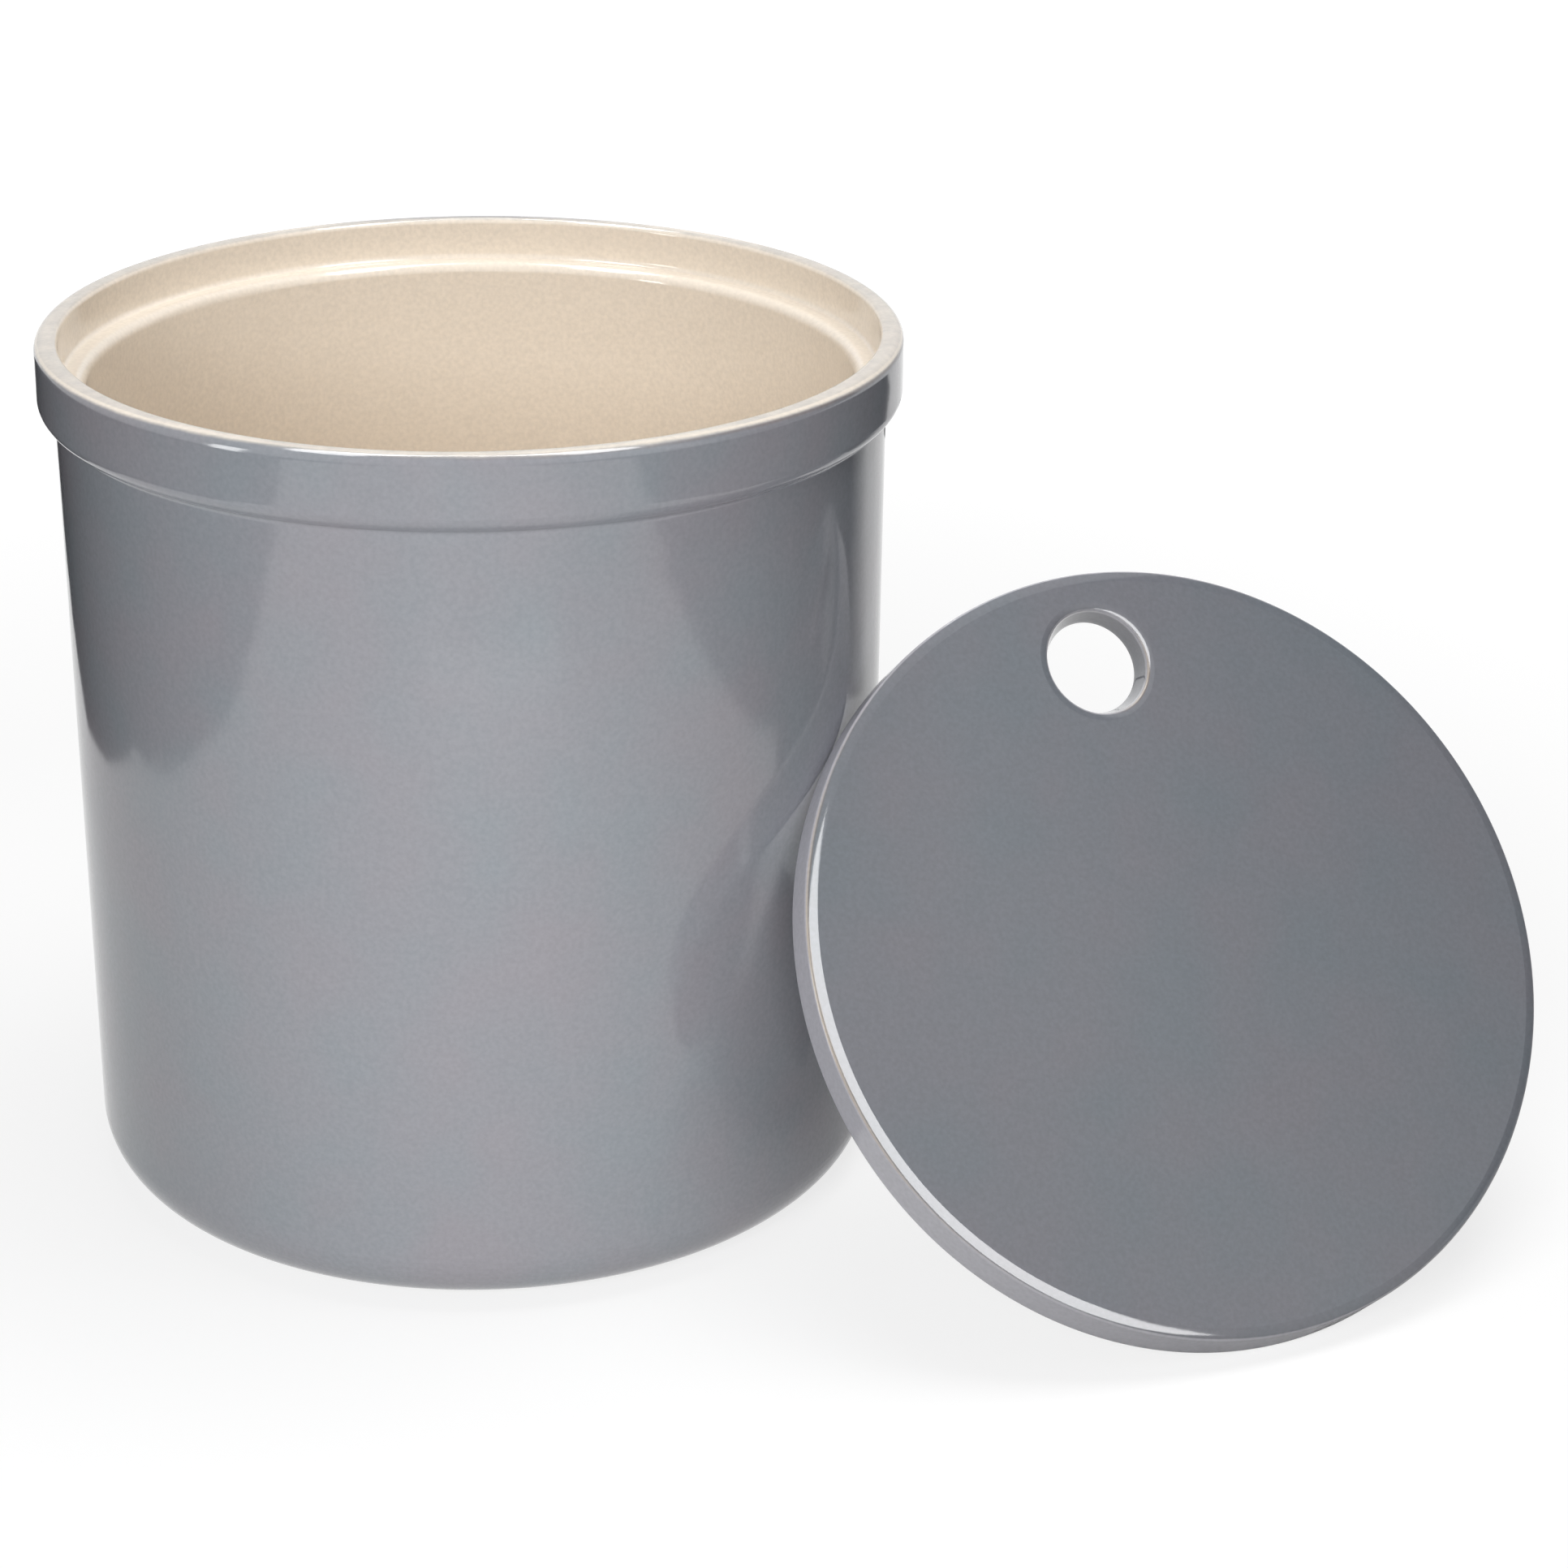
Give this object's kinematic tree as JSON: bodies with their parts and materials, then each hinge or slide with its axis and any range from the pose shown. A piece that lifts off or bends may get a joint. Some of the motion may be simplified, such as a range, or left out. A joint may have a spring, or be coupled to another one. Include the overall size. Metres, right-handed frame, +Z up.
{
  "type": "potato storage pot",
  "caption": "Glazed stoneware crock with a collared, ledged mouth and a loose flat lid with a finger hole, for keeping potatoes cool, dark and aired.",
  "frame": {"origin": "centre of the crock's base, on the surface that it stands on", "axes": "+Z up along the crock's axis; -Y is the side seen in front, and the lid stands on the floor towards +X and -Y, leaning back on the crock's wall"},
  "size_m": [0.4232, 0.268, 0.249],
  "materials": {
    "pot_glaze": "glossy slate-grey glaze outside, cream glaze inside, bare clay under the foot",
    "lid_glaze": "glossy slate-grey glaze, thin and beige where it breaks over the edges"
  },
  "bodies": {
    "pot": {"pot_body": "pot_glaze"},
    "lid": {"lid": "lid_glaze"}
  },
  "joints": [
    {"name": "lid_lift", "type": "slide", "parent": "pot", "child": "lid", "axis": [0.3318, -0.7052, 0.6266], "range_m": [0, 0.25]}
  ]
}
